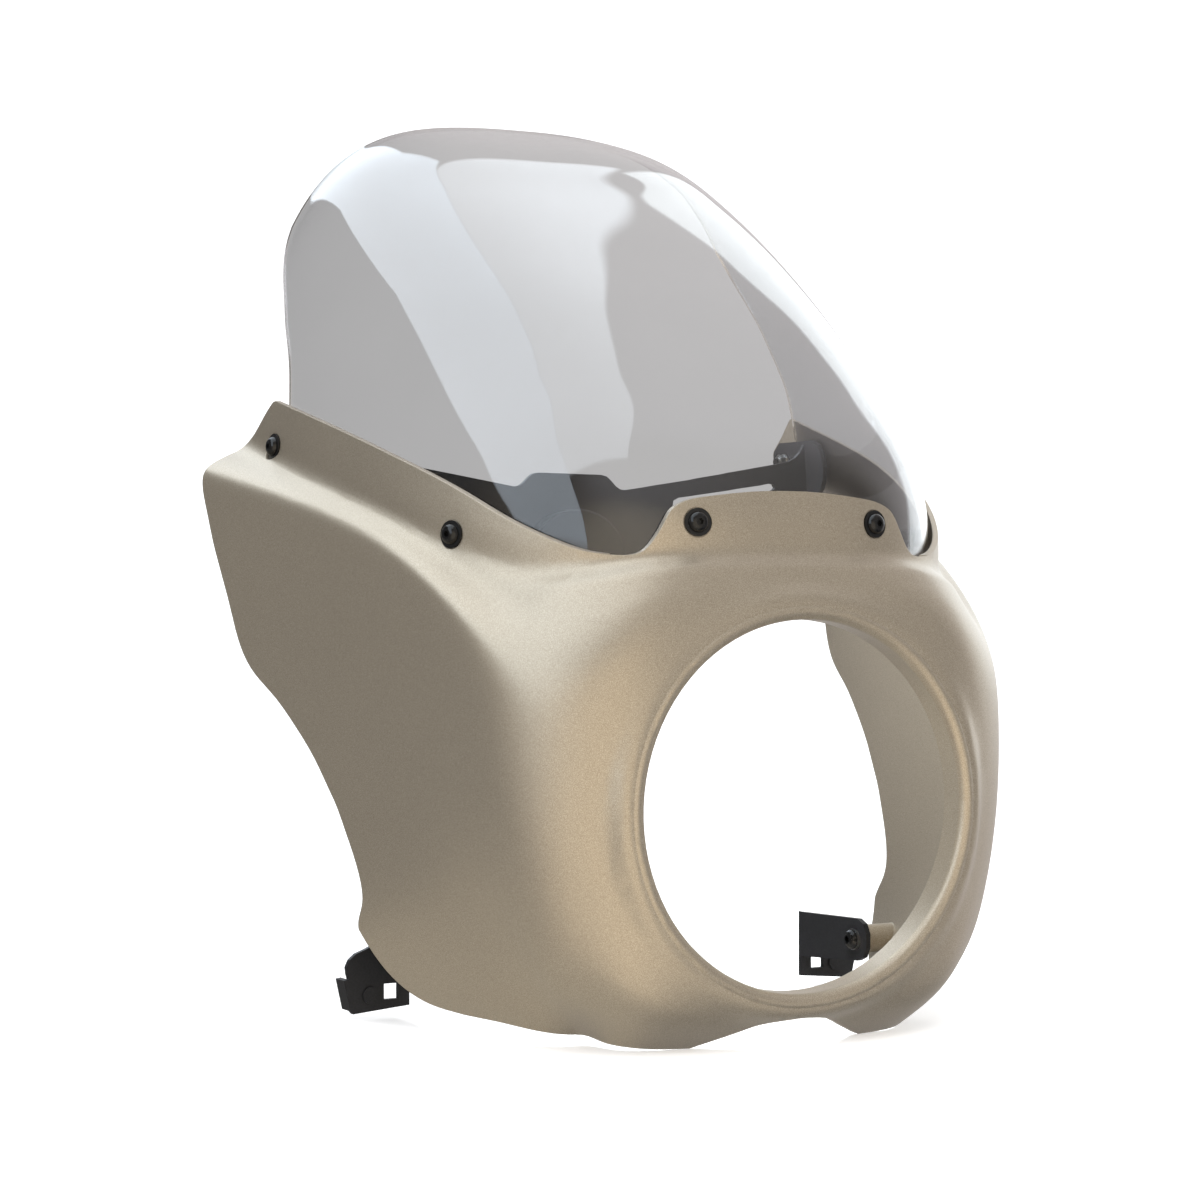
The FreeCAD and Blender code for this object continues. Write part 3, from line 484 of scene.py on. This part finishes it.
class Sky:
    """Small helper to write the studio's soft boxes as regions of the sky."""

    def __init__(self, nt):
        self.nt = nt
        self.dir = add(nt, "ShaderNodeTexCoord").outputs["Generated"]

    def math(self, op, a, b):
        n = add(self.nt, "ShaderNodeMath", operation=op)
        for i, v in enumerate((a, b)):
            if isinstance(v, (int, float)):
                n.inputs[i].default_value = v
            else:
                self.nt.links.new(v, n.inputs[i])
        return n.outputs[0]

    def side(self, n, c, soft=0.006):
        """1 where n.direction > c, with a soft edge."""
        return self.step(self.dot(n), c, soft)

    def dot(self, n):
        d = add(self.nt, "ShaderNodeVectorMath", operation="DOT_PRODUCT")
        self.nt.links.new(self.dir, d.inputs[0])
        d.inputs[1].default_value = n
        return d.outputs["Value"]

    def step(self, value, c, soft=0.006):
        r = add(self.nt, "ShaderNodeMapRange", interpolation_type="SMOOTHSTEP")
        self.nt.links.new(value, r.inputs["Value"])
        r.inputs["From Min"].default_value = c - soft
        r.inputs["From Max"].default_value = c + soft
        return r.outputs["Result"]

    def blend(self, base, fac, colour):
        n = add(self.nt, "ShaderNodeMix", data_type="RGBA")
        self.nt.links.new(fac, n.inputs["Factor"])
        if isinstance(base, tuple):
            n.inputs["A"].default_value = base + (1,)
        else:
            self.nt.links.new(base, n.inputs["A"])
        n.inputs["B"].default_value = colour + (1,)
        return n.outputs["Result"]


def neg(n):
    return tuple(-v for v in n)


world = bpy.data.worlds.new("studio")
bpy.context.scene.world = world
world.use_nodes = True
wt = world.node_tree
sky = Sky(wt)
N1, N2, N3 = (.078, -.809, .583), (.795, -.591, -.139), (.596, -.757, .270)
N4, N5 = (.017, .835, -.549), (-.766, .624, .152)
N7, N8 = (-.433, .856, -.283), (.045, .877, .478)
mul = lambda a, b: sky.math("MULTIPLY", a, b)
most = lambda a, b: sky.math("MAXIMUM", a, b)
plus = lambda a, b: sky.math("ADD", a, b)
front = most(sky.side(N1, .02), most(sky.side((.5426, -.447, .7124), 0.0), sky.side((.765, -.2208, .6056), 0.0)))
low_z = sky.side((0, 0, 1), .10, .02)
# the line between the two boxes bends away towards the zenith
split = plus(sky.dot(N3), mul(sky.math("POWER", sky.math("MAXIMUM", sky.dot((0, 0, 1)), 0.0), 16.0), -.13))
top_a = most(sky.side((-.9714, .2371, -.0103), 0.0), sky.side((-.860, -.329, .3894), 0.0))
box_a = mul(mul(front, sky.step(sky.math("MULTIPLY", split, -1.0), -.015)), mul(top_a, low_z))
back_y = sky.math("MAXIMUM", sky.dot((0, 1, 0)), 0.0)
line_b = plus(sky.dot(N2), mul(mul(back_y, back_y), .19))
box_b = mul(mul(front, sky.step(split, .015)), mul(mul(sky.step(sky.math("MULTIPLY", line_b, -1.0), -.055),
                                                      sky.side(neg(N7), -.02)), sky.side(N8, 0.0, .02)))
strip = mul(sky.side(N4, .02), mul(sky.side(neg(N5), -.02), sky.side((0, 0, 1), .0, .08)))
right = mul(sky.side((.82, -.57, 0.0), -.25, .35), sky.side((0, 0, 1), -.42, .22))
col = sky.blend((.10, .105, .115), sky.side((0, 1, 0), .15, .35), (.34, .34, .35))
col = sky.blend(col, sky.side((-.75, .66, 0.0), .45, .35), (.15, .15, .155))
col = sky.blend(col, right, (.76, .72, .72))
ahead = mul(right, sky.side((0, -1, 0), .30, .18))
col = sky.blend(col, ahead, (.62, .58, .53))
col = sky.blend(col, mul(ahead, sky.side((1, 0, 0), .60, .15)), (.30, .28, .27))
col = sky.blend(col, sky.side((-.5, -.6, -.62), .72, .22), (.60, .56, .50))
col = sky.blend(col, sky.side((-.92, -.38, .05), .80, .16), (.50, .44, .38))
col = sky.blend(col, sky.side((-.44, -.87, -.22), .80, .17), (1.55, 1.36, 1.08))
col = sky.blend(col, sky.side((-.45, .42, -.79), .82, .12), (.62, .58, .50))
col = sky.blend(col, strip, (2.05, 2.15, 2.2))
col = sky.blend(col, box_b, (2.05, 2.15, 2.25))
col = sky.blend(col, box_a, (2.35, 2.6, 2.85))
lp = add(wt, "ShaderNodeLightPath")
glossy = sky.math("GREATER_THAN", lp.outputs["Glossy Depth"], 0.5)
through = lp.outputs["Is Transmission Ray"]
plain = sky.blend((.93, .95, .98), through, (.57, .565, .565))
final = add(wt, "ShaderNodeMix", data_type="RGBA")
wt.links.new(glossy, final.inputs["Factor"])
wt.links.new(plain, final.inputs["A"])
wt.links.new(col, final.inputs["B"])
bg = wt.nodes["Background"]
wt.links.new(final.outputs["Result"], bg.inputs["Color"])
bg.inputs["Strength"].default_value = 1.0

area("key", (-0.6, -1.6, 2.0), (0, 0.1, 0.0), 1.2, 20.0, (1.0, 0.98, 0.95))
area("side", (1.9, 0.2, 0.6), (0.1, 0.1, 0.0), 0.5, 2.0, (0.9, 0.95, 1.0), 1.6)
area("inside", (0.0, 0.07, 0.145), (0.12, 0.03, 0.0), 0.06, 0.8, (0.97, 1.0, 1.0))
area("band", (0.01, 0.20, 0.235), (0.16, 0.14, 0.165), 0.06, 1.0, (0.95, 0.97, 1.0))

# ------------------------------------------------------------------ camera
yaw, pitch = math.radians(28.74), math.radians(0.34)
d = Vector((math.sin(yaw) * math.cos(pitch), math.cos(yaw) * math.cos(pitch), -math.sin(pitch)))
r = Vector((math.cos(yaw), -math.sin(yaw), 0))
u = r.cross(d)
cam = bpy.data.cameras.new("camera")
cam.sensor_fit = "HORIZONTAL"
cam.sensor_width = 36.0
cam.lens = 2995.0 / 1200.0 * 36.0
cam.clip_end = 50.0
co = bpy.data.objects.new("camera", cam)
co.matrix_world = Matrix((
    (r.x, u.x, -d.x, -0.823), (r.y, u.y, -d.y, -1.2906), (r.z, u.z, -d.z, 0.114), (0, 0, 0, 1)))
bpy.context.scene.collection.objects.link(co)
bpy.context.scene.camera = co
bpy.context.scene.view_settings.view_transform = "Standard"
